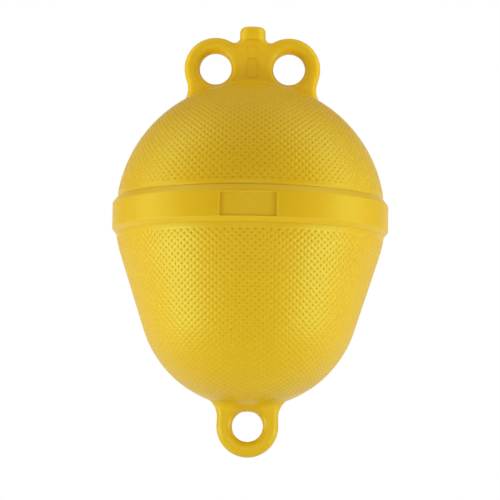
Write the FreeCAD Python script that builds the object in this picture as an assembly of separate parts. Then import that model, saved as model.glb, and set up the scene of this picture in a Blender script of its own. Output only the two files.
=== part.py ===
import FreeCAD, Part
import math
import os

# Rigid pear-shaped swim buoy, moulded in polyethylene, in millimetres.
# Two hollow half shells meet tongue in groove at the waist, and a bevelled band is seated over their rims.
# A two-eyed lifting lug is rooted through the crown, a one-eyed mooring lug through the tail, and a plug
# closes the filler hole between the lifting eyes.
# Origin: on the buoy's axis, at mid-height of the waist band. +Z is up, the eyes' bores run along Y, and
# the blank name panel faces -Y.

# Shells
dome_radius = 121.8         # outside of the upper shell, one sphere
shoulder_step = 0.8         # the lower shell's shoulder is this much fuller than the dome
centre_rise = 1.4           # both spheres' centre above the band's mid-height
tail_radius = 100.0         # rounded lower end
tail_drop = 73.4            # centre of the rounded lower end below the spheres' centre
shell_wall = 3.0
rim_wall = 4.0              # the rims behind the band are thicker than the wall
tongue_thickness = 1.6
tongue_height = 3.0

# Waist band
band_height = 33.0
band_proud = 3.2            # band's face outside the dome's radius
band_seat_depth = 2.8       # rebate for the band, below the dome's radius
top_bevel_height = 5.6
bottom_bevel_height = 4.5
bevel_round = 0.8

# Blank name panel, on the band's face
panel_width = 52.6          # over its lip
panel_depth = 1.2
lip_width = 1.5
lip_proud = 0.6

# Lugs
lug_thickness = 18.0
lug_edge_round = 6.5        # round on a lug's outer edges
eye_rim_round = 7.0         # round on both rims of an eye
eye_wall = 14.05            # from an eye's bore to the outline

eye_pitch = 66.8            # lifting eyes, centre to centre
eye_radius = 14.35
eye_clearance = 2.4         # lifting eyes' bores clear of the dome
neck_lean = 16.0            # degrees, the lifting lug's sides lean in towards its foot
flare_round = 20.0          # and flare out again onto the dome
flare_bite = 2.0            # the flare's arc runs on this far below the dome's surface
valley_round = 5.0          # between each lobe and the plug's seat
lifting_foot_round = 3.0    # fillet around the lifting lug's foot
lifting_root_length = 84.0

mooring_eye_radius = 13.85
mooring_clearance = 3.4     # mooring eye's bore clear of the tail
mooring_lean = 2.0          # degrees
mooring_flare_round = 20.0
mooring_flare_bite = 1.0
mooring_foot_round = 8.0
mooring_root_length = 30.0

root_thickness = 11.0       # the tongue of each lug that passes through its shell
root_reach = 3.0            # how far it stands past the shell's inside
root_weld = 0.1             # overlap between it and the lug's foot

# Filler plug
plug_radius = 11.65
plug_height = 12.1          # head above its seat
plug_round = 4.5
plug_seat_drop = 2.5        # seat below the valleys' centres, so that their rounds run up to its edge
stem_radius = 5.0
stem_length = 15.0
filler_radius = 3.5         # filler hole below the stem

# Clearances
band_fit = 0.1              # between the band and its rebate
tongue_fit = 0.1            # each side of the tongue in its groove
slot_fit = 0.2              # between a lug's root and its slot
seat_fit = 0.1              # between a lug's foot and its shell
stem_fit = 0.1              # between the plug's stem and its socket

# Worked out from the sizes above
band_top = band_height / 2
band_radius = dome_radius + band_proud
seat_radius = dome_radius - band_seat_depth
rim_radius = seat_radius - rim_wall
shoulder_radius = dome_radius + shoulder_step
tail_height = centre_rise - tail_drop
crown = centre_rise + dome_radius
lobe_radius = eye_radius + eye_wall
mooring_lobe_radius = mooring_eye_radius + eye_wall
eye_reach = dome_radius + eye_clearance + eye_radius
eye_height = centre_rise + math.sqrt(eye_reach ** 2 - (eye_pitch / 2) ** 2)
mooring_height = tail_height - tail_radius - mooring_clearance - mooring_eye_radius
valley_x = plug_radius + valley_round
valley_height = eye_height + math.sqrt((lobe_radius + valley_round) ** 2 - (eye_pitch / 2 - valley_x) ** 2)
plug_seat = valley_height - plug_seat_drop

TOLERANCE = 1e-3
AXIS_X = FreeCAD.Vector(1, 0, 0)
AXIS_Y = FreeCAD.Vector(0, 1, 0)
AXIS_Z = FreeCAD.Vector(0, 0, 1)


def point(x, z, y=0.0):
    return FreeCAD.Vector(x, y, z)


def line(start, end):
    return Part.LineSegment(start, end).toShape()


def polar(centre, radius, degrees):
    """A point in the XZ plane, degrees from +X towards +Z."""
    angle = math.radians(degrees)
    return centre + point(radius * math.cos(angle), radius * math.sin(angle))


def arc(centre, radius, start, end):
    """A circular edge in the XZ plane between two angles in degrees."""
    ends_and_middle = [polar(centre, radius, angle) for angle in (start, (start + end) / 2, end)]
    return Part.Arc(*ends_and_middle).toShape()


def bearing(centre, target):
    """Angle in degrees from centre to target, in the XZ plane."""
    return math.degrees(math.atan2(target.z - centre.z, target.x - centre.x))


def turned(edges):
    """A solid turned about the buoy's axis from a closed half profile."""
    face = Part.Face(Part.Wire(Part.__sortEdges__(edges)))
    return face.revolve(point(0, 0), AXIS_Z, 360)


def width_at(radius, height):
    """Half-width of a sphere about the spheres' centre, at a height in the part's frame."""
    return math.sqrt(radius ** 2 - (height - centre_rise) ** 2)


def chain(points):
    return [line(a, b) for a, b in zip(points, points[1:])]


# Shells ----------------------------------------------------------------

def dome():
    """Hollow upper half, with the band's rebate outside its rim and a tongue under it."""
    centre = point(0, centre_rise)
    inner = dome_radius - shell_wall
    crease = point(width_at(dome_radius, band_top), band_top)
    rim_top = point(rim_radius, centre_rise + math.sqrt(inner ** 2 - rim_radius ** 2))
    tongue_inner = (seat_radius + rim_radius - tongue_thickness) / 2
    tongue_outer = tongue_inner + tongue_thickness
    rim = [crease, point(seat_radius, band_top), point(seat_radius, 0), point(tongue_outer, 0),
           point(tongue_outer, -tongue_height), point(tongue_inner, -tongue_height), point(tongue_inner, 0),
           point(rim_radius, 0), rim_top]
    edges = chain(rim)
    edges.append(arc(centre, dome_radius, bearing(centre, crease), 90))
    edges.append(arc(centre, inner, bearing(centre, rim_top), 90))
    edges.append(line(polar(centre, inner, 90), polar(centre, dome_radius, 90)))
    return turned(edges)


def hull_skin(offset, top):
    """Half profile of the lower half from a point on its shoulder down to the axis, offset inwards."""
    centre = point(0, centre_rise)
    tail = point(0, tail_height)
    slope = -math.degrees(math.asin((shoulder_radius - tail_radius) / tail_drop))
    shoulder = shoulder_radius - offset
    end = tail_radius - offset
    return [arc(centre, shoulder, bearing(centre, top), slope),
            line(polar(centre, shoulder, slope), polar(tail, end, slope)),
            arc(tail, end, slope, -90)]


def hull():
    """Hollow lower half: shoulder sphere, tangent cone and rounded tail, grooved for the tongue."""
    inner = shoulder_radius - shell_wall
    crease = point(width_at(shoulder_radius, -band_top), -band_top)
    rim_bottom = point(rim_radius, centre_rise - math.sqrt(inner ** 2 - rim_radius ** 2))
    groove_inner = (seat_radius + rim_radius - tongue_thickness) / 2 - tongue_fit
    groove_outer = groove_inner + tongue_thickness + 2 * tongue_fit
    groove_floor = -tongue_height - tongue_fit
    rim = [crease, point(seat_radius, -band_top), point(seat_radius, 0), point(groove_outer, 0),
           point(groove_outer, groove_floor), point(groove_inner, groove_floor), point(groove_inner, 0),
           point(rim_radius, 0), rim_bottom]
    edges = chain(rim) + hull_skin(0, crease) + hull_skin(shell_wall, rim_bottom)
    tail = point(0, tail_height)
    edges.append(line(polar(tail, tail_radius, -90), polar(tail, tail_radius - shell_wall, -90)))
    return turned(edges)


# Lugs ------------------------------------------------------------------
# Both lugs are drawn upright on their shell's sphere, and the mooring lug is turned over at the end.

def ball(radius, height):
    """A sphere whose poles lie along Y, with its seam underneath."""
    sphere = Part.makeSphere(radius)
    sphere.rotate(point(0, 0), AXIS_X, 90)
    sphere.rotate(point(0, 0), AXIS_Y, 90)
    sphere.translate(point(0, height))
    return sphere


def slab(edges, thickness):
    """A flat outline in the XZ plane made solid, half of it each side of that plane."""
    face = Part.Face(Part.Wire(Part.__sortEdges__(edges)))
    face.translate(point(0, 0, -thickness / 2))
    return face.extrude(AXIS_Y * thickness)


def mirrored(edges):
    """The edges and their mirror images across the buoy's axis."""
    return edges + [e.mirror(point(0, 0), AXIS_X) for e in edges]


def flared_side(eye, lobe, lean, flare, bite, radius, height):
    """Outline from a lobe's side, leaning in and then flaring out, to under its shell's sphere."""
    centre = point(0, height)
    start = polar(eye, lobe + flare, -lean) - centre
    slide = polar(point(0, 0), 1, -lean - 90)
    along = start.dot(slide)
    travel = -along - math.sqrt(along ** 2 - start.dot(start) + (radius + flare - bite) ** 2)
    middle = centre + start + slide * travel
    end = bearing(middle, centre) % 360
    return [line(polar(eye, lobe, -lean), polar(middle, flare, 180 - lean)),
            arc(middle, flare, 180 - lean, end),
            line(polar(middle, flare, end), centre)]


def rounded(body, radius):
    """Round the long edges around both faces of a slab."""
    face_y = body.BoundBox.YMax
    rims = [e for e in body.Edges if abs(abs(e.CenterOfMass.y) - face_y) < TOLERANCE]
    return body.makeFillet(radius, rims)


def footed(body, radius, height, foot_round):
    """Fillet a slab's foot where it runs into its shell, and take the shell's own volume away."""
    shell = ball(radius, height)
    joined = body.fuse(shell)
    centre = point(0, height)
    seam = []
    for edge in joined.Edges:
        middle = edge.valueAt((edge.FirstParameter + edge.LastParameter) / 2)
        on_shell = abs(middle.distanceToPoint(centre) - radius) < TOLERANCE
        if on_shell and abs(middle.y) < body.BoundBox.YMax + TOLERANCE and middle.z > height:
            seam.append(edge)
    return joined.makeFillet(foot_round, seam).cut(shell)


def eye_cutter(x, height, radius):
    """Tool for one eye: a bore along Y that opens out in a round at each face of the lug."""
    half = lug_thickness / 2
    flare = radius + eye_rim_round
    reach = half + eye_rim_round
    straight = half - eye_rim_round
    tool = Part.makeCylinder(radius, 2 * reach, point(x, height, -reach), AXIS_Y)
    for side in (-1, 1):
        start = FreeCAD.Vector(x + radius, side * straight, height)
        end = FreeCAD.Vector(x + flare, side * half, height)
        middle = FreeCAD.Vector(x + flare - eye_rim_round * math.sqrt(0.5),
                                side * (straight + eye_rim_round * math.sqrt(0.5)), height)
        outer = FreeCAD.Vector(x + flare, side * reach, height)
        rim = [Part.Arc(start, middle, end).toShape(), line(end, outer),
               line(outer, FreeCAD.Vector(x, side * reach, height)),
               line(FreeCAD.Vector(x, side * reach, height), FreeCAD.Vector(x, side * straight, height)),
               line(FreeCAD.Vector(x, side * straight, height), start)]
        face = Part.Face(Part.Wire(rim))
        tool = tool.fuse(face.revolve(FreeCAD.Vector(x, 0, height), AXIS_Y, 360))
    return tool


def obround(length, thickness, low, high):
    """A prism along Z with round ends, its length along X."""
    radius = thickness / 2
    reach = length / 2 - radius
    bar = Part.makeBox(2 * reach, thickness, high - low, FreeCAD.Vector(-reach, -radius, low))
    for x in (-reach, reach):
        bar = bar.fuse(Part.makeCylinder(radius, high - low, point(x, low)))
    return bar.removeSplitter()


def root(length, radius, height):
    """The lug's tongue, from inside its foot through the shell's slot and a little past the shell."""
    prism = obround(length, root_thickness, height, height + radius + shell_wall)
    inside = ball(radius - shell_wall - root_reach, height)
    return prism.common(ball(radius + seat_fit + root_weld, height)).cut(inside)


def lug_body(outline, radius, height, foot_round, root_length):
    """A lug with rounded edges, a filleted foot and its root, before its eyes are bored."""
    body = rounded(slab(mirrored(outline), lug_thickness), lug_edge_round)
    body = footed(body, radius + seat_fit, height, foot_round)
    return body.fuse(root(root_length, radius, height)).removeSplitter()


def lifting_lug():
    """Two lobes joined by a web, with a boss between them for the filler plug."""
    eye = point(eye_pitch / 2, eye_height)
    valley = point(valley_x, valley_height)
    seat_angle = 180 + math.degrees(math.asin(plug_seat_drop / valley_round))
    outline = [line(point(0, plug_seat), polar(valley, valley_round, seat_angle)),
               arc(valley, valley_round, seat_angle, bearing(valley, eye) + 360),
               arc(eye, lobe_radius, bearing(eye, valley), -neck_lean)]
    outline += flared_side(eye, lobe_radius, neck_lean, flare_round, flare_bite,
                           dome_radius + seat_fit, centre_rise)
    body = lug_body(outline, dome_radius, centre_rise, lifting_foot_round, lifting_root_length)

    boss_height = plug_seat - eye_height
    boss = Part.makeCylinder(plug_radius, boss_height, point(0, eye_height))
    faces = Part.makeBox(2 * plug_radius, lug_thickness, boss_height,
                         point(-plug_radius, eye_height, -lug_thickness / 2))
    body = body.fuse(boss.common(faces)).removeSplitter()

    socket_depth = stem_length + stem_fit
    body = body.cut(Part.makeCylinder(stem_radius + stem_fit, socket_depth, point(0, plug_seat - socket_depth)))
    body = body.cut(Part.makeCylinder(filler_radius, plug_seat - centre_rise, point(0, centre_rise)))
    for x in (-eye.x, eye.x):
        body = body.cut(eye_cutter(x, eye_height, eye_radius))
    return body


def mooring_lug():
    """One lobe, turned over to hang under the tail."""
    eye = point(0, -mooring_height)
    outline = [arc(eye, mooring_lobe_radius, 90, -mooring_lean)]
    outline += flared_side(eye, mooring_lobe_radius, mooring_lean, mooring_flare_round, mooring_flare_bite,
                           tail_radius + seat_fit, -tail_height)
    body = lug_body(outline, tail_radius, -tail_height, mooring_foot_round, mooring_root_length)
    body = body.cut(eye_cutter(0, -mooring_height, mooring_eye_radius))
    body.rotate(point(0, 0), AXIS_X, 180)
    return body


def slotted(shell, length, low, high):
    """Cut the slot for a lug's root through the shell's wall."""
    return shell.cut(obround(length + 2 * slot_fit, root_thickness + 2 * slot_fit, low, high))


# Waist band ------------------------------------------------------------

def waist_band():
    """Bevelled ring over the shells' rims, with the blank name panel sunk in its face."""
    inner = seat_radius + band_fit
    top = band_top - band_fit
    face_top = band_top - top_bevel_height
    face_bottom = bottom_bevel_height - band_top
    profile = [point(inner, top), point(width_at(dome_radius, band_top), top), point(band_radius, face_top),
               point(band_radius, face_bottom), point(width_at(shoulder_radius, -band_top), -top),
               point(inner, -top), point(inner, top)]
    band = turned(chain(profile))
    shoulders = [e for e in band.Edges if len(e.Vertexes) == 1
                 and min(abs(e.Vertexes[0].Point.z - z) for z in (face_bottom, face_top)) < TOLERANCE]
    band = band.makeFillet(bevel_round, shoulders)
    return panelled(band, face_bottom, face_top)


def panelled(band, low, high):
    """Sink the panel into the front of the band and raise a lip on its top and sides."""
    field = panel_width - 2 * lip_width
    floor = Part.makeCylinder(band_radius - panel_depth, band_height, point(0, -band_top))
    lip_ring = Part.makeCylinder(band_radius + lip_proud, band_height, point(0, -band_top))
    reach = 2 * band_radius
    outer = Part.makeBox(panel_width, reach, high - low, point(-panel_width / 2, low, -reach))
    opening = Part.makeBox(field, reach, high - lip_width - low, point(-field / 2, low, -reach))
    lip = outer.common(lip_ring).cut(floor)
    return band.fuse(lip).cut(opening.cut(floor)).removeSplitter()


# Filler plug -----------------------------------------------------------

def filler_plug():
    """Round-topped head with a stem that presses into the lifting lug."""
    top = plug_seat + plug_height
    corner = point(plug_radius - plug_round, top - plug_round)
    edges = chain([point(0, top), point(corner.x, top)])
    edges.append(arc(corner, plug_round, 0, 90))
    edges += chain([point(plug_radius, corner.z), point(plug_radius, plug_seat), point(stem_radius, plug_seat),
                    point(stem_radius, plug_seat - stem_length), point(0, plug_seat - stem_length), point(0, top)])
    return turned(edges)


# Assembly --------------------------------------------------------------

def main():
    parts = {
        "upper_shell": slotted(dome(), lifting_root_length, centre_rise, crown),
        "lower_shell": slotted(hull(), mooring_root_length, tail_height - tail_radius, tail_height),
        "waist_band": waist_band(),
        "lifting_lug": lifting_lug(),
        "mooring_lug": mooring_lug(),
        "filler_plug": filler_plug(),
    }
    os.makedirs("parts", exist_ok=True)
    for name, shape in parts.items():
        solid = shape.Solids[0] if len(shape.Solids) == 1 else shape
        solid.exportStep(os.path.join("parts", name + ".step"))
        box = solid.BoundBox
        print(name, solid.isValid(), len(shape.Solids), round(solid.Volume), box)


main()
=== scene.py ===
import bpy
import math
import numpy as np
from mathutils import Matrix, Vector


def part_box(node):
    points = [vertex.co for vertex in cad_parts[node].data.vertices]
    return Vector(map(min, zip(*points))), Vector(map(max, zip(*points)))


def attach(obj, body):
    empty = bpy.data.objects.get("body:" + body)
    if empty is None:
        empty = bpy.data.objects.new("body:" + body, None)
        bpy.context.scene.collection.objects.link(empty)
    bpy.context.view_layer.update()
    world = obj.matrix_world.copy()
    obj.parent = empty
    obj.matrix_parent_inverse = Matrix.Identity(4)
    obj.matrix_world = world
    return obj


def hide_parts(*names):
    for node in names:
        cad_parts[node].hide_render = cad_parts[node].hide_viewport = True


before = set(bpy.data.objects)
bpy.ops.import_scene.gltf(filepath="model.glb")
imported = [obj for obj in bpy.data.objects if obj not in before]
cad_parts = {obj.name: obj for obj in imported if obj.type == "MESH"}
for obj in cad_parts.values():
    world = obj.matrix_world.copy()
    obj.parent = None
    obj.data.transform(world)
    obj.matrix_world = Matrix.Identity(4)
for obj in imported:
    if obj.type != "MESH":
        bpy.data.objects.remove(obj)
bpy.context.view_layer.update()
scene = bpy.context.scene
MM = 0.001

# Sizes of the moulded skin, as in the part's source, in metres. The CAD band's box gives its face's radius.
DOME_RADIUS = 121.8 * MM
SHOULDER_RADIUS = 122.6 * MM
CENTRE_Z = 1.4 * MM
TAIL_RADIUS = 100.0 * MM
TAIL_Z = -72.0 * MM
SEAT_RADIUS = 119.0 * MM
RIM_RADIUS = 115.0 * MM
WALL = 3.0 * MM
RIM_SHORT = 0.05 * MM          # how far each rim stops short of the plane where the shells meet
BAND_HALF = 16.5 * MM
BAND_GAP = 0.1 * MM            # between the band and its seat
TOP_BEVEL = 5.6 * MM
BOTTOM_BEVEL = 4.5 * MM
BEVEL_ROUND = 0.9 * MM

# The blank panel on the band, inside its lip.
PANEL_HALF = 24.8 * MM
PANEL_TOP = 9.4 * MM
PANEL_DEPTH = 1.2 * MM
PANEL_WALL = 0.3 * MM          # run of the walls round the field
LIP_WIDTH = 1.5 * MM
LIP_PROUD = 0.55 * MM
LIP_POWER, LIP_ROOT = 2.4, 0.42        # section of the lip, a little squarer than a half circle

# Mesh steps of the band: fine on the panel's lip and at the face's lower edge, coarse elsewhere.
LIP_STEP = 0.12 * MM
EDGE_STEP = 0.1 * MM
PLAIN_STEP = 2 * MM
ROUND_STEP = math.radians(1.5)

# The lugs. lean is the tilt of a side in degrees, flare the radius at its foot, bite how far that circle runs
# into the shell, rim the round of an eye, skin and skin_z the shell's sphere, blend the reach of the foot.
LUG_HALF = 9.0 * MM            # half their thickness
LUG_EDGE = 6.5 * MM            # round on their outer edges
EYE_WALL = 14.05 * MM          # from an eye to the outside of its lobe
LIFTING = {"eye_radius": 14.35 * MM, "eye_x": 33.4 * MM, "eye_z": 135.86 * MM, "lean": 16.0, "flare": 20 * MM,
           "bite": 2 * MM, "rim": 7 * MM, "skin": DOME_RADIUS, "skin_z": CENTRE_Z, "blend": 3.5 * MM}
MOORING = {"eye_radius": 13.85 * MM, "eye_x": 0.0, "eye_z": 189.25 * MM, "lean": 2.0, "flare": 20 * MM,
           "bite": 1 * MM, "rim": 6 * MM, "skin": TAIL_RADIUS, "skin_z": -TAIL_Z, "blend": 15 * MM}
LIFTING_BOX = ((-0.080, -0.035, 0.088), (0.080, 0.035, 0.170))         # room for each lug's mesh
MOORING_BOX = ((-0.062, -0.042, 0.150), (0.062, 0.042, 0.222))
VALLEY = (16.65 * MM, 164.76 * MM, 5 * MM)             # x, z and radius of the arc beside the plug
VALLEY_START = 210.0           # degrees, where its arc leaves the plug's seat
ARC_STEPS, LOBE_STEPS = 24, 48         # steps of the arcs in a lug's outline
PLUG_SEAT = 162.26 * MM
PLUG_RADIUS = 11.65 * MM
BOSS_INSET = 0.15 * MM         # the round boss under the plug, inside the plug's radius
BOSS_RISE = 0.4 * MM           # its top above the plug's seat
BOSS_FACE_ROUND, BOSS_TOP_ROUND, BOSS_BLEND = 1.0 * MM, 0.3 * MM, 2.5 * MM
EYE_FILL, EYE_FILL_ROUND = 0.9 * MM, 1.5 * MM          # most that a blend narrows an eye, and its round

# The foot of a lug: how far it runs out over the shell, and how it then sinks below the skin.
FOOT_REACH = 0.6               # share of the blend
FOOT_UNDER = 0.05 * MM
FOOT_SINK = 200.0              # depth over the square of the distance, in 1 / m
FOOT_SIDES = (3 * MM, 10 * MM)         # the blend grows between these, from the middle to the faces
FOOT_ENDS = (12 * MM, 28 * MM)         # and shrinks between these, from the middle to the ends
FOOT_ENDS_LESS = 0.75          # share that it loses there
ROOT_SHORT = 0.2 * MM          # how far the root stops short of the shell's inside

# The net that meshes the lugs.
NET_STEP = 0.8 * MM
NET_PASSES = 3
NET_PROBE = 0.05 * MM          # step that measures the field's slope
NET_REACH = 0.4                # most that a vertex moves in a pass, in steps
NET_FLAT = 0.05                # least squared slope that a pass counts on
CELL_CORNERS = [(i, j, k) for i in (0, 1) for j in (0, 1) for k in (0, 1)]

# The two bare marks between the lifting eyes. Their upper corners are alike, and their lower ones differ.
MARK_WIDTH = 10.2 * MM
MARK_TOP, MARK_SPLIT, MARK_BOTTOM = 156.5 * MM, 144.5 * MM, 127.5 * MM
MARK_GAP = 0.8 * MM            # from the split to each frame's line
MARK_CORNER, UPPER_MARK_CORNER, LOWER_MARK_CORNER = 1 * MM, 1.2 * MM, 4 * MM
MARK_LINE, MARK_PROUD = 1.1 * MM, 0.45 * MM            # width of the line, and how far it stands out
MARK_ARC_STEPS, MARK_LOW_ARC_STEPS = 4, 8

# The grip texture: small pits in a diamond lattice. Its columns keep their pitch of arc down the whole skin,
# measured from the front and the back centre lines, so that they run out at the mould's seams at the sides.
PIT_COLUMN = 6.8 * MM
PIT_ROW_HULL = 6.05 * MM
PIT_ROW_DOME = 6.6 * MM
PIT_DEPTH = 1.25 * MM
PIT_POWER = 2.4                # 1 makes plain pyramids, more makes smaller pits between flatter ridges
PIT_STEPS = 4                  # mesh steps in one lattice cell, each way
BARE_ROWS = 4                  # mesh rows left smooth beside the band
BARE_DOME, BARE_HULL = 20 * MM, 26 * MM        # radius left smooth round the axis
AXIS_FADE = 8 * MM             # run over which the pits fade in from there
LUG_MARGIN, LUG_FADE = 1 * MM, 5 * MM          # smooth margin round a lug's foot, and the fade from there
DOME_GROOVE = (1.2 * MM, 0.6 * MM)             # how deep the dome's first rows are sunk beside the band
SEAM_SNAP = 0.3                # columns nearer than this to the seam, in steps, are moved onto it
ROUND_RINGS, SIDE_RINGS = 12, 4        # rings of mesh inside the shells: round ends, side of the hull
SKIN_SHARP, BAND_SHARP = math.radians(50), math.radians(35)

# Camera: in front of the buoy, a little below it and turned a little to one side, and slightly rolled.
CAMERA_DISTANCE = 3.0
CAMERA_BELOW = math.radians(5.75)
CAMERA_TURN = math.radians(0.92)
CAMERA_ROLL = math.radians(-0.81)
CAMERA_AIM = Vector((0.00015, 0.0, -0.0293))
CAMERA_LENS = 238.4

# The floor and the white wall behind the buoy.
FLOOR_BELOW_CAMERA = 0.005
FLOOR_RADIUS = 5.2
FLOOR_CORNERS = 64
FLOOR_EVEN = 0.85              # how much of its look is an even white
BACKDROP_BEHIND, BACKDROP_WIDTH, BACKDROP_TOP = 4.6, 7.0, 2.4

# Lamps: name, azimuth from the front towards +X, elevation, distance, width, height, level, colour. Levels
# and colours were first fitted to the photo's colours, then rounded and set one by one.
LAMP_TARGET = Vector((0.0, 0.0, -0.03))
RADIANCE = 34.4                # watts a square metre at level 1
LAMPS = [
    ("strip_left", -63, -19, 0.66, 0.36, 0.14, 0.82, (0.97, 1.0, 1.0)),
    ("strip_right", 63, -19, 0.66, 0.36, 0.14, 0.75, (0.97, 1.0, 0.97)),
    ("side_left", -85, 30, 1.6, 0.8, 2.0, 0.185, (0.95, 1.0, 0.75)),
    ("side_right", 85, 30, 1.6, 0.8, 2.0, 0.205, (0.95, 1.0, 0.75)),
    ("front", 0, 0, 1.6, 0.8, 0.8, 0.18, (1.0, 0.75, 0.75)),
    ("top", 0, 75, 1.6, 1.6, 1.6, 0.053, (1.0, 0.75, 0.7)),
]
WORLD_LEVEL = 0.34
WORLD_COLOUR = (1.0, 0.93, 0.84, 1.0)

PAINTED_LIGHT_PALER = 1.18                   # how much paler the lifting lug, plug and marks are: painted light, as their web gets too little light


# Camera, lamps, floor and backdrop ---------------------------------------

def add_camera():
    back = Vector((math.sin(CAMERA_TURN) * math.cos(CAMERA_BELOW),
                   -math.cos(CAMERA_TURN) * math.cos(CAMERA_BELOW),
                   -math.sin(CAMERA_BELOW)))
    right = Vector((math.cos(CAMERA_TURN), math.sin(CAMERA_TURN), 0.0))
    up = back.cross(right)
    c, s = math.cos(CAMERA_ROLL), math.sin(CAMERA_ROLL)
    right, up = right * c - up * s, right * s + up * c
    data = bpy.data.cameras.new("camera")
    data.lens = CAMERA_LENS
    data.sensor_width = 36.0
    data.clip_end = 100.0
    camera = bpy.data.objects.new("camera", data)
    scene.collection.objects.link(camera)
    matrix = Matrix((right, up, back)).transposed().to_4x4()
    matrix.translation = CAMERA_AIM + back * CAMERA_DISTANCE
    camera.matrix_world = matrix
    scene.camera = camera
    return camera


def add_lamp(name, azimuth, elevation, distance, width, height, level, colour):
    data = bpy.data.lights.new(name, "AREA")
    data.shape = "RECTANGLE"
    data.size = width
    data.size_y = height
    data.energy = RADIANCE * width * height * level
    data.color = colour
    lamp = bpy.data.objects.new(name, data)
    scene.collection.objects.link(lamp)
    a, e = math.radians(azimuth), math.radians(elevation)
    away = Vector((math.sin(a) * math.cos(e), -math.cos(a) * math.cos(e), math.sin(e)))
    lamp.location = LAMP_TARGET + away * distance
    lamp.rotation_euler = away.to_track_quat("Z", "Y").to_euler()
    lamp.visible_camera = False


def seen_directly(nt):
    """A socket that is 1 for the camera's rays, and for rays that a shiny or clear surface sends on."""
    path = nt.nodes.new("ShaderNodeLightPath")
    total = path.outputs["Is Camera Ray"]
    for kind in ("Is Glossy Ray", "Is Transmission Ray"):
        either = nt.nodes.new("ShaderNodeMath")
        either.operation = "MAXIMUM"
        nt.links.new(total, either.inputs[0])
        nt.links.new(path.outputs[kind], either.inputs[1])
        total = either.outputs[0]
    return total


def add_world():
    world = bpy.data.worlds.new("studio")
    scene.world = world
    world.use_nodes = True
    soft = world.node_tree.nodes["Background"]
    soft.inputs["Strength"].default_value = WORLD_LEVEL
    soft.inputs["Color"].default_value = WORLD_COLOUR


def whitened(name, share):
    """A material that looks white by a share when it is seen directly, and its tree and mixing node."""
    material = bpy.data.materials.new(name)
    material.use_nodes = True
    nt = material.node_tree
    white = nt.nodes.new("ShaderNodeEmission")
    white.inputs["Color"].default_value = (1.0, 1.0, 1.0, 1.0)
    white.inputs["Strength"].default_value = 1.0
    part = nt.nodes.new("ShaderNodeMath")
    part.operation = "MULTIPLY"
    part.inputs[1].default_value = share
    mix = nt.nodes.new("ShaderNodeMixShader")
    nt.links.new(seen_directly(nt), part.inputs[0])
    nt.links.new(part.outputs[0], mix.inputs[0])
    nt.links.new(white.outputs[0], mix.inputs[2])
    nt.links.new(mix.outputs[0], nt.nodes["Material Output"].inputs["Surface"])
    return material, nt, mix


def add_stage(name, corners, material):
    mesh = bpy.data.meshes.new(name)
    mesh.from_pydata(corners, [], [tuple(range(len(corners)))])
    mesh.materials.append(material)
    plane = bpy.data.objects.new(name, mesh)
    scene.collection.objects.link(plane)


def add_floor(z):
    """Pale and matt. Seen directly it is mostly an even white, and keeps a part of its light and shadow."""
    material, nt, mix = whitened("floor", FLOOR_EVEN)
    shader = nt.nodes["Principled BSDF"]
    shader.inputs["Base Color"].default_value = (0.8, 0.8, 0.8, 1.0)
    shader.inputs["Roughness"].default_value = 0.9
    nt.links.new(shader.outputs[0], mix.inputs[1])
    angles = [2 * math.pi * i / FLOOR_CORNERS for i in range(FLOOR_CORNERS)]
    corners = [(FLOOR_RADIUS * math.cos(a), FLOOR_RADIUS * math.sin(a), z) for a in angles]
    add_stage("floor", corners, material)


def add_backdrop(floor_z):
    """A white wall behind the buoy. It lets the world's light through, so that it lights nothing itself."""
    material, nt, mix = whitened("backdrop", 1.0)
    nt.nodes.remove(nt.nodes["Principled BSDF"])
    clear = nt.nodes.new("ShaderNodeBsdfTransparent")
    nt.links.new(clear.outputs[0], mix.inputs[1])
    half, y = BACKDROP_WIDTH / 2, BACKDROP_BEHIND
    corners = [(-half, y, floor_z), (half, y, floor_z), (half, y, BACKDROP_TOP), (-half, y, BACKDROP_TOP)]
    add_stage("backdrop", corners, material)


# Materials ---------------------------------------------------------------

def plastic(name, roughness, grain_scale, grain_depth, painted_light_lift=1.0):
    """Matt yellow polyethylene, a little mottled, with its mould's fine grain. A paler copy, for pieces that
    get too little light, is painted light.
    """
    material = bpy.data.materials.new(name)
    material.use_nodes = True
    nt = material.node_tree
    shader = nt.nodes["Principled BSDF"]
    shader.inputs["Roughness"].default_value = roughness
    shader.inputs["Specular IOR Level"].default_value = 0.85
    shader.inputs["Specular Tint"].default_value = (0.4, 1.0, 0.3, 1.0)

    where = nt.nodes.new("ShaderNodeTexCoord")
    mottle = nt.nodes.new("ShaderNodeTexNoise")
    mottle.inputs["Scale"].default_value = 14.0
    mottle.inputs["Detail"].default_value = 3.0
    yellow = nt.nodes.new("ShaderNodeValToRGB")
    deep, light = yellow.color_ramp.elements
    deep.position = 0.3
    # The factor makes both yellows paler where it is above 1: painted light.
    deep.color = (0.70 * painted_light_lift, 0.425 * painted_light_lift, 0.002, 1.0)
    light.position = 0.7
    light.color = (0.71 * painted_light_lift, 0.445 * painted_light_lift, 0.004, 1.0)
    grain = nt.nodes.new("ShaderNodeTexNoise")
    grain.inputs["Scale"].default_value = grain_scale
    grain.inputs["Detail"].default_value = 4.0
    bump = nt.nodes.new("ShaderNodeBump")
    bump.inputs["Strength"].default_value = 0.5
    bump.inputs["Distance"].default_value = grain_depth
    nt.links.new(where.outputs["Object"], mottle.inputs["Vector"])
    nt.links.new(where.outputs["Object"], grain.inputs["Vector"])
    nt.links.new(mottle.outputs["Fac"], yellow.inputs["Fac"])
    nt.links.new(yellow.outputs["Color"], shader.inputs["Base Color"])
    nt.links.new(grain.outputs["Fac"], bump.inputs["Height"])
    nt.links.new(bump.outputs["Normal"], shader.inputs["Normal"])
    return material


# Skins -------------------------------------------------------------------

def add_piece(name, mesh, material, node=None):
    """A visible piece on the buoy's body, in place of a CAD node if one is given."""
    mesh.materials.append(material)
    piece = bpy.data.objects.new(name, mesh)
    scene.collection.objects.link(piece)
    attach(piece, "root")
    if node:
        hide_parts(node)


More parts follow.
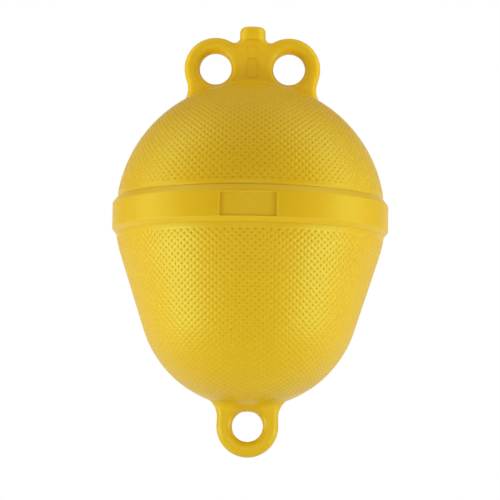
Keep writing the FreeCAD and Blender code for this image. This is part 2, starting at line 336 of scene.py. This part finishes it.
def profile_walk(segments, step):
    """Points of a profile at equal steps of arc: (radius, z, outward radius, outward z).

    Each segment is (length, function of distance along it). The walk ends at the axis.
    """
    total = sum(length for length, at in segments)
    count = int(round(total / step))
    rows = []
    for k in range(count):
        s = k * total / count
        for length, at in segments:
            if s <= length:
                rows.append(at(s))
                break
            s -= length
    return rows


def ball_arc(radius, centre_z, start, end):
    """A segment of profile on a sphere about the axis, between two latitudes in radians."""
    turn = 1 if end > start else -1

    def at(s):
        a = start + turn * s / radius
        return radius * math.cos(a), centre_z + radius * math.sin(a), math.cos(a), math.sin(a)
    return radius * abs(end - start), at


def straight(start, end, slope):
    """A segment of profile on a cone, its outward normal at a latitude in radians."""
    length = math.hypot(end[0] - start[0], end[1] - start[1])

    def at(s):
        t = s / length
        return (start[0] + t * (end[0] - start[0]), start[1] + t * (end[1] - start[1]),
                math.cos(slope), math.sin(slope))
    return length, at


class ShellMesh:
    """Vertices and faces of a shell. Each vertex keeps how deep it is sunk, which sets how quads are cut."""

    def __init__(self):
        self.verts, self.drops, self.faces = [], [], []

    def add(self, radius, angle, side, z, drop=0.0):
        """A vertex at an angle from the front (side 1) or back (side -1) centre line."""
        self.verts.append((radius * math.sin(angle), -side * radius * math.cos(angle), z))
        self.drops.append(drop)
        return len(self.verts) - 1

    def face(self, *corners):
        """A quad, as two triangles that meet along its ridge, or one triangle if two corners are the same."""
        loop = [c for k, c in enumerate(corners) if c != corners[k - 1]]
        if len(loop) == 4:
            a, b, c, d = loop
            if self.drops[a] + self.drops[c] > self.drops[b] + self.drops[d]:
                a, b, c, d = b, c, d, a
            self.faces.extend([(a, b, c), (a, c, d)])
        elif len(loop) == 3:
            self.faces.append(tuple(loop))


def fade_in(distance, run):
    return min(1.0, max(0.0, distance / run))


def pitted_rings(shell, rows, bare_radius, lug, groove):
    """The pitted skin's vertices, ring by ring from the band: one list for the front, one for the back."""
    step = PIT_COLUMN / PIT_STEPS
    half = int(math.pi / 2 * rows[0][0] / step) + 1
    foot_end = outline(lug)[-2][0] - LUG_HALF
    foot_side = FOOT_REACH * lug["blend"] + LUG_HALF
    front, back = [], []
    for j, (radius, z, out_r, out_z) in enumerate(rows):
        if j < len(groove):
            radius, z = radius - groove[j] * out_r, z - groove[j] * out_z
        reach = math.pi / 2 * radius
        axis = fade_in(radius - bare_radius, AXIS_FADE)
        seams = {side: shell.add(radius, side * math.pi / 2, 1, z) for side in (-1, 1)}
        v = j / PIT_STEPS
        ring = {1: [], -1: []}
        for i in np.arange(-half, half + 1):
            u = i * step
            if abs(u) > reach - SEAM_SNAP * step:
                for side in (1, -1):
                    ring[side].append(seams[1 if u > 0 else -1])
                continue
            x, y = radius * math.sin(u / radius), radius * math.cos(u / radius)
            clear = math.hypot(max(abs(x) - foot_end, 0.0), y) - foot_side
            foot = fade_in(clear - LUG_MARGIN, LUG_FADE)
            seam = min(1.0, (reach - abs(u)) / PIT_COLUMN)
            drop = PIT_DEPTH * axis * foot * seam * pit(u / PIT_COLUMN, v) if j >= BARE_ROWS else 0.0
            for side in (1, -1):
                place = radius - drop * out_r, u / radius, side, z - drop * out_z
                ring[side].append(shell.add(*place, drop))
        front.append(ring[1])
        back.append(ring[-1])
    return front, back


def close_inside(shell, loop, start_radius, rim, inner_z):
    """Rings from the skin's first row over the rim to the inside, and its middle on the axis."""
    for radius, z in rim:
        below = []
        for v in loop:
            x, y, _ = shell.verts[v]
            below.append((x * radius / start_radius, y * radius / start_radius, z))
        first = len(shell.verts)
        shell.verts.extend(below)
        shell.drops.extend([0.0] * len(below))
        ring = list(range(first, first + len(below)))
        for k in range(len(ring)):
            shell.face(loop[k], ring[k], ring[(k + 1) % len(ring)], loop[(k + 1) % len(loop)])
        loop, start_radius = ring, radius
    middle = shell.add(0.0, 0.0, 1, inner_z)
    for k in range(len(loop)):
        shell.face(loop[k], middle, loop[(k + 1) % len(loop)])


def pitted_skin(name, rows, rim, bare_radius, lug, node, material, groove=()):
    """A closed hollow shell, pitted outside, walked from the band to the axis, over the rim and back inside.

    rows are profile_walk points, rim (radius, z) points from the skin's first row inwards. The first rows are
    sunk by the groove's depths. The pits fade out near the axis, round the lug's foot and at the seams.
    """
    shell = ShellMesh()
    front, back = pitted_rings(shell, rows, bare_radius, lug, groove)
    columns = len(front[0])
    end_z = rows[-1][1]
    pole = shell.add(0.0, 0.0, 1, end_z)
    front.append([pole] * columns)
    back.append([pole] * columns)
    for j in range(len(rows)):
        for k in range(columns - 1):
            shell.face(front[j][k], front[j][k + 1], front[j + 1][k + 1], front[j + 1][k])
            shell.face(back[j][k + 1], back[j][k], back[j + 1][k], back[j + 1][k + 1])
    loop = front[0] + back[0][::-1]
    loop = [v for k, v in enumerate(loop) if v != loop[k - 1]]
    close_inside(shell, loop, rows[0][0], rim, end_z - math.copysign(WALL, end_z))

    mesh = bpy.data.meshes.new(name)
    mesh.from_pydata(shell.verts, [], shell.faces)
    if end_z < 0:
        mesh.flip_normals()
    mesh.shade_smooth()
    mesh.set_sharp_from_angle(angle=SKIN_SHARP)
    add_piece(name, mesh, material, node)


def pit(u, v):
    """How far a point of the lattice is sunk: 0 on the ridges around the diamonds, 1 at their centres."""
    diamonds = [abs(u - round(u)) + abs(v - round(v)), abs(abs(u) % 1 - 0.5) + abs(v % 1 - 0.5)]
    return max(0.0, 1.0 - 2.0 * min(diamonds)) ** PIT_POWER


def latitude(radius, height):
    return math.asin((height - CENTRE_Z) / radius)


def inside(sign, radius, centre_z, start, end, count):
    """Points on a shell's inside between two latitudes, upwards for sign 1 and downwards for sign -1."""
    return [(radius * math.cos(a), centre_z + sign * radius * math.sin(a))
            for a in (start + (end - start) * k / count for k in range(count))]


def dome_skin(material):
    low = latitude(DOME_RADIUS, BAND_HALF)
    rows = profile_walk([ball_arc(DOME_RADIUS, CENTRE_Z, low, math.pi / 2)], PIT_ROW_DOME / PIT_STEPS)
    inner = DOME_RADIUS - WALL
    turn = math.acos(RIM_RADIUS / inner)
    rim = [(SEAT_RADIUS, BAND_HALF), (SEAT_RADIUS, RIM_SHORT), (RIM_RADIUS, RIM_SHORT)]
    rim += inside(1, inner, CENTRE_Z, turn, math.pi / 2, ROUND_RINGS)
    pitted_skin("skin_upper", rows, rim, BARE_DOME, LIFTING, "upper_shell", material, DOME_GROOVE)


def hull_skin(material):
    slope = -math.asin((SHOULDER_RADIUS - TAIL_RADIUS) / (CENTRE_Z - TAIL_Z))
    shoulder = ball_arc(SHOULDER_RADIUS, CENTRE_Z, latitude(SHOULDER_RADIUS, -BAND_HALF), slope)
    tail = ball_arc(TAIL_RADIUS, TAIL_Z, slope, -math.pi / 2)
    cone = straight(shoulder[1](shoulder[0])[:2], tail[1](0)[:2], slope)
    rows = profile_walk([shoulder, cone, tail], PIT_ROW_HULL / PIT_STEPS)
    inner = SHOULDER_RADIUS - WALL
    turn = math.acos(RIM_RADIUS / inner)
    rim = [(SEAT_RADIUS, -BAND_HALF), (SEAT_RADIUS, -RIM_SHORT), (RIM_RADIUS, -RIM_SHORT)]
    rim += inside(-1, inner, CENTRE_Z, turn, -slope, SIDE_RINGS)
    rim += inside(-1, TAIL_RADIUS - WALL, TAIL_Z, -slope, math.pi / 2, ROUND_RINGS)
    pitted_skin("skin_lower", rows, rim, BARE_HULL, MOORING, "lower_shell", material)


# Band --------------------------------------------------------------------

def spread(start, end, step):
    """Values from start up to end, not counting end, about a step apart."""
    count = max(1, round((end - start) / step))
    return [start + (end - start) * k / count for k in range(count)]


def rounded_corner(before, corner, after, radius, count=5):
    """Points of the arc that rounds a profile's corner, each (radius, z)."""
    before, corner, after = np.array(before), np.array(corner), np.array(after)
    u = (before - corner) / np.linalg.norm(before - corner)
    v = (after - corner) / np.linalg.norm(after - corner)
    half = math.acos(np.dot(u, v)) / 2
    middle = corner + (u + v) / np.linalg.norm(u + v) * radius / math.sin(half)
    start = u * radius / math.tan(half) + corner - middle
    end = v * radius / math.tan(half) + corner - middle
    turn = math.pi - 2 * half
    return [tuple(middle + (start * math.sin(turn * (1 - t)) + end * math.sin(turn * t)) / math.sin(turn))
            for t in (k / count for k in range(count + 1))]


def panel_rise(x, z, bottom):
    """How far the band's face stands out at the panel: up on its lip, down in its field."""
    right, above = abs(x) - PANEL_HALF, z - PANEL_TOP
    out = math.hypot(right, above) if right > 0 and above > 0 else max(right, above)
    if out > LIP_WIDTH or z < bottom:
        return 0.0
    ends = min(1.0, (z - bottom) / PANEL_WALL)
    if out < 0:
        return -PANEL_DEPTH * min(1.0, -out / PANEL_WALL) * ends
    return LIP_PROUD * (1 - abs(2 * out / LIP_WIDTH - 1) ** LIP_POWER) ** LIP_ROOT * ends


def band_skin(material):
    """The waist band as a closed ring: its section, turned round the axis, with the panel in its face."""
    low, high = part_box("waist_band")
    face, top, bottom = high[0], high[2], low[2]
    inner = SEAT_RADIUS + BAND_GAP
    upper = (math.sqrt(DOME_RADIUS ** 2 - (BAND_HALF - CENTRE_Z) ** 2), top)
    lower = (math.sqrt(SHOULDER_RADIUS ** 2 - (BAND_HALF + CENTRE_Z) ** 2), bottom)
    shoulders = [(face, BAND_HALF - TOP_BEVEL), (face, BOTTOM_BEVEL - BAND_HALF)]
    over = rounded_corner(upper, shoulders[0], shoulders[1], BEVEL_ROUND)
    under = rounded_corner(shoulders[0], shoulders[1], lower, BEVEL_ROUND)
    start, end = over[-1][1], under[0][1]
    heights = spread(start, PANEL_TOP - 2 * PANEL_WALL, -LIP_STEP)
    heights += spread(heights[-1] - LIP_STEP, end + 2 * PANEL_WALL, -PLAIN_STEP)
    heights += spread(end + 2 * PANEL_WALL, end, -EDGE_STEP)
    profile = [(inner, top), upper] + over + [(face, z) for z in heights[1:]]
    profile += under + [lower, (inner, bottom)]

    reach = PANEL_HALF + LIP_WIDTH
    places = spread(0.0, PANEL_HALF - 2 * PANEL_WALL, PLAIN_STEP)
    places += spread(PANEL_HALF - 2 * PANEL_WALL, reach + PANEL_WALL, LIP_STEP)
    angles = [math.asin(x / face) for x in places]
    angles += spread(math.asin((reach + PANEL_WALL) / face), math.pi, ROUND_STEP) + [math.pi]
    angles += [-a for a in angles[-2:0:-1]]

    verts = []
    for radius, z in profile:
        for a in angles:
            r = radius
            if radius == face and math.cos(a) > 0:
                r += panel_rise(face * math.sin(a), z, end)
            verts.append((r * math.sin(a), -r * math.cos(a), z))
    rows, columns = len(profile), len(angles)
    faces = []
    for j in range(rows):
        this, below = j * columns, (j + 1) % rows * columns
        for k in range(columns):
            beside = (k + 1) % columns
            faces.append((this + k, below + k, below + beside, this + beside))
    mesh = bpy.data.meshes.new("skin_band")
    mesh.from_pydata(verts, [], faces)
    mesh.shade_smooth()
    mesh.set_sharp_from_angle(angle=BAND_SHARP)
    add_piece("skin_band", mesh, material, "waist_band")


# Lugs --------------------------------------------------------------------
# Each lug is a field, roughly a distance in metres, that is negative inside it. It is drawn upright and
# meshed as a surface net. Its foot runs out over its shell in a smooth blend that ends below the skin.

def arc_points(x, z, radius, start, end, count=ARC_STEPS):
    angles = [math.radians(start + (end - start) * k / count) for k in range(count + 1)]
    return [(x + radius * math.cos(a), z + radius * math.sin(a)) for a in angles]


def outline(lug):
    """The right half of a lug's outline, from its top on the axis to its shell's centre."""
    lobe = lug["eye_radius"] + EYE_WALL
    eye_x, eye_z = lug["eye_x"], lug["eye_z"]
    lean = math.radians(lug["lean"])
    points = []
    start = 90.0
    if eye_x:
        valley_x, valley_z, bend = VALLEY
        down = math.degrees(math.atan2(eye_z - valley_z, eye_x - valley_x)) % 360
        points = [(0.0, PLUG_SEAT)] + arc_points(valley_x, valley_z, bend, VALLEY_START, down)
        start = down - 180
    points += arc_points(eye_x, eye_z, lobe, start, -lug["lean"], LOBE_STEPS)
    # The flare's centre moves down along the side, from beside the lobe, until its circle bites the shell.
    reach = lobe + lug["flare"]
    start_x = eye_x + reach * math.cos(lean)
    start_z = eye_z - reach * math.sin(lean) - lug["skin_z"]
    down_x, down_z = -math.sin(lean), -math.cos(lean)
    along = start_x * down_x + start_z * down_z
    target = lug["skin"] + lug["flare"] - lug["bite"]
    travel = -along - math.sqrt(along ** 2 - start_x ** 2 - start_z ** 2 + target ** 2)
    centre_x, centre_z = start_x + travel * down_x, start_z + travel * down_z
    end = math.degrees(math.atan2(-centre_z, -centre_x)) % 360
    points += arc_points(centre_x, centre_z + lug["skin_z"], lug["flare"], 180 - lug["lean"], end)
    points.append((0.0, lug["skin_z"]))
    return np.array(points)


def outline_distance(points, x, z):
    """Signed distance to the outline, mirrored about the axis: negative inside."""
    x, z = np.broadcast_arrays(np.abs(x), z)
    best = np.full(x.shape, 1e9)
    within = np.zeros(x.shape, bool)
    for (ax, az), (bx, bz) in zip(points, points[1:]):
        ux, uz = bx - ax, bz - az
        t = np.clip(((x - ax) * ux + (z - az) * uz) / (ux * ux + uz * uz), 0.0, 1.0)
        best = np.minimum(best, np.hypot(x - ax - t * ux, z - az - t * uz))
        if az != bz:
            crosses = (z < az) != (z < bz)
            within ^= crosses & (x < ax + (z - az) / (bz - az) * ux)
    return np.where(within, -best, best)


def meet(a, b, radius):
    """Both fields at once, the edge between them rounded."""
    return (np.minimum(np.maximum(a, b) + radius, 0.0) - radius
            + np.hypot(np.maximum(a + radius, 0.0), np.maximum(b + radius, 0.0)))


def join(a, b, k):
    """Either field, filled in between over a distance k."""
    k = np.maximum(k, 1e-6)
    h = np.maximum(k - np.abs(a - b), 0.0) / k
    return np.minimum(a, b) - h * h * k / 4


def ramp(value, low, high):
    return np.clip((value - low) / (high - low), 0.0, 1.0)


def lug_field(lug):
    """A lug's field, and the outline that it is built on. The field can be given the outline's distance."""
    points = outline(lug)

    def field(x, y, z, flat=None):
        side = outline_distance(points, x, z) if flat is None else flat
        face = np.abs(y) - LUG_HALF
        body = meet(side, face, LUG_EDGE)
        if lug["eye_x"]:
            boss = np.hypot(x, y) - PLUG_RADIUS + BOSS_INSET
            boss = meet(meet(boss, face, BOSS_FACE_ROUND), z - PLUG_SEAT - BOSS_RISE, BOSS_TOP_ROUND)
            body = join(body, np.maximum(boss, lug["eye_z"] - z), BOSS_BLEND)
        hole = lug["eye_radius"] - np.hypot(np.abs(x) - lug["eye_x"], z - lug["eye_z"])
        body = np.maximum(body, meet(hole, face, lug["rim"]))
        skin = np.sqrt(x * x + y * y + (z - lug["skin_z"]) ** 2) - lug["skin"]
        away = np.maximum(body - FOOT_REACH * lug["blend"], 0.0)
        sunk = skin + FOOT_UNDER + FOOT_SINK * away * away
        ends = 1.0 - FOOT_ENDS_LESS * ramp(np.abs(x), *FOOT_ENDS)
        foot = join(body, sunk, lug["blend"] * ramp(np.abs(y), *FOOT_SIDES) * ends)
        body = np.maximum(foot, -(skin + WALL - ROOT_SHORT))
        return meet(body, hole - EYE_FILL, EYE_FILL_ROUND)
    return field, points


def at_corner(array, corner):
    """A grid's values at one corner of each of its cells."""
    return array[tuple(slice(c, c + n - 1) for c, n in zip(corner, array.shape))]


def crossing_points(value, mixed):
    """For each mixed cell, the mean of the points where the surface crosses its edges, in grid steps."""
    total, crossings = np.zeros((mixed.sum(), 3)), np.zeros(mixed.sum())
    for a in CELL_CORNERS:
        for axis in range(3):
            if a[axis]:
                continue
            b = tuple(1 if n == axis else c for n, c in enumerate(a))
            va, vb = at_corner(value, a)[mixed], at_corner(value, b)[mixed]
            cross = (va < 0) != (vb < 0)
            t = np.where(cross, va / np.where(cross, va - vb, 1.0), 0.0)
            place = np.tile(np.array(a, float), (len(t), 1))
            place[:, axis] = t
            total += place * cross[:, None]
            crossings += cross
    return np.argwhere(mixed) + total / crossings[:, None]


def settled(field, verts):
    """The vertices moved along the field's slope towards the surface."""
    here = field(*verts.T)
    slope = [(field(*(verts + NET_PROBE * e).T) - here) / NET_PROBE for e in np.eye(3)]
    slope = np.stack(slope, axis=1)
    size = np.maximum((slope ** 2).sum(axis=1), NET_FLAT)
    return verts - np.clip(here / size, -NET_REACH * NET_STEP, NET_REACH * NET_STEP)[:, None] * slope


def net_quads(solid, index):
    """A quad round each grid edge that the surface crosses, from the vertices of the four cells beside it."""
    quads = []
    for axis in range(3):
        u, v = (axis + 1) % 3, (axis + 2) % 3
        start = solid[tuple(slice(0, -1) if n == axis else slice(1, -1) for n in range(3))]
        end = solid[tuple(slice(1, None) if n == axis else slice(1, -1) for n in range(3))]
        for leaving in (False, True):
            at = np.argwhere((start & ~end) if leaving else (~start & end))
            at[:, u] += 1
            at[:, v] += 1
            around = []
            for du, dv in ((1, 1), (0, 1), (0, 0), (1, 0)):
                cell = at.copy()
                cell[:, u] -= du
                cell[:, v] -= dv
                around.append(index[tuple(cell.T)])
            quad = np.stack(around, axis=1)
            quads.append(quad if leaving else quad[:, ::-1])
    return np.concatenate(quads)


def surface_net(field, points, low, high):
    """Vertices and quads of the surface where the field is zero, inside a box.

    Each grid cell that the surface crosses gets one vertex, which is then moved onto the surface.
    """
    axes = [np.arange(a, b + NET_STEP, NET_STEP) for a, b in zip(low, high)]
    flat = outline_distance(points, axes[0][:, None], axes[2][None, :])
    x, y, z = np.meshgrid(*axes, indexing="ij")
    value = field(x, y, z, flat[:, None, :])
    solid = value < 0
    count = sum(at_corner(solid, c).astype(int) for c in CELL_CORNERS)
    mixed = (count > 0) & (count < len(CELL_CORNERS))
    index = np.full(mixed.shape, -1)
    index[mixed] = np.arange(mixed.sum())
    verts = np.array([axis[0] for axis in axes]) + crossing_points(value, mixed) * NET_STEP
    for _ in range(NET_PASSES):
        verts = settled(field, verts)
    return verts, net_quads(solid, index)


def lug_skin(name, lug, node, box, turn, material):
    """The skin of a lug. turn is 1 for a lug that stands upright and -1 for one that hangs."""
    field, points = lug_field(lug)
    verts, quads = surface_net(field, points, *box)
    verts = verts * np.array([1.0, turn, turn])
    mesh = bpy.data.meshes.new(name)
    mesh.from_pydata(verts.tolist(), [], quads.tolist())
    mesh.shade_smooth()
    add_piece(name, mesh, material, node)


def raised_line(name, path, width, proud, face_y, material, around=6):
    """A thin round line, half sunk along a closed path (x, z) in the front face of a lug."""
    count = len(path)
    path = np.array(path)
    tangent = np.roll(path, -1, axis=0) - np.roll(path, 1, axis=0)
    normal = np.stack([tangent[:, 1], -tangent[:, 0]], axis=1) / np.linalg.norm(tangent, axis=1)[:, None]
    verts = []
    for place, out in zip(path, normal):
        for k in range(around):
            a = 2 * math.pi * k / around
            across = place + out * width / 2 * math.cos(a)
            verts.append((across[0], face_y + proud * math.sin(a), across[1]))
    faces = []
    for i in range(count):
        this, following = i * around, (i + 1) % count * around
        for k in range(around):
            beside = (k + 1) % around
            faces.append((this + beside, following + beside, following + k, this + k))
    mesh = bpy.data.meshes.new(name)
    mesh.from_pydata(verts, [], faces)
    mesh.shade_smooth()
    add_piece(name, mesh, material)


def mark_frame(name, top, bottom, low_corner, material):
    """A bare moulded frame on the web between the lifting eyes."""
    half, corner = MARK_WIDTH / 2, MARK_CORNER
    path = arc_points(half - corner, top - corner, corner, 0, 90, MARK_ARC_STEPS)
    path += arc_points(corner - half, top - corner, corner, 90, 180, MARK_ARC_STEPS)
    path += arc_points(low_corner - half, bottom + low_corner, low_corner, 180, 270, MARK_LOW_ARC_STEPS)
    path += arc_points(half - low_corner, bottom + low_corner, low_corner, 270, 360, MARK_LOW_ARC_STEPS)
    raised_line(name, path, MARK_LINE, MARK_PROUD, -LUG_HALF, material)


# The scene ---------------------------------------------------------------

camera = add_camera()
add_world()
floor_z = camera.location.z - FLOOR_BELOW_CAMERA
add_floor(floor_z)
add_backdrop(floor_z)
for lamp in LAMPS:
    add_lamp(*lamp)

textured = plastic("yellow_textured", 0.38, 900.0, 0.00004)
smooth = plastic("yellow_smooth", 0.42, 700.0, 0.00003)
# A paler copy of the smooth yellow: painted light on the lifting lug, plug and marks, whose web gets too
# little light.
painted_lit = plastic("yellow_painted_lit", 0.42, 700.0, 0.00003, PAINTED_LIGHT_PALER)
for name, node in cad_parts.items():
    node.data.materials.clear()
    node.data.materials.append(painted_lit if name == "filler_plug" else smooth)
dome_skin(textured)
hull_skin(textured)
band_skin(smooth)
lug_skin("skin_lifting_lug", LIFTING, "lifting_lug", LIFTING_BOX, 1, painted_lit)
mark_frame("mark_upper", MARK_TOP, MARK_SPLIT + MARK_GAP, UPPER_MARK_CORNER, painted_lit)
mark_frame("mark_lower", MARK_SPLIT - MARK_GAP, MARK_BOTTOM, LOWER_MARK_CORNER, painted_lit)
lug_skin("skin_mooring_lug", MOORING, "mooring_lug", MOORING_BOX, -1, smooth)

scene.view_settings.view_transform = "Standard"
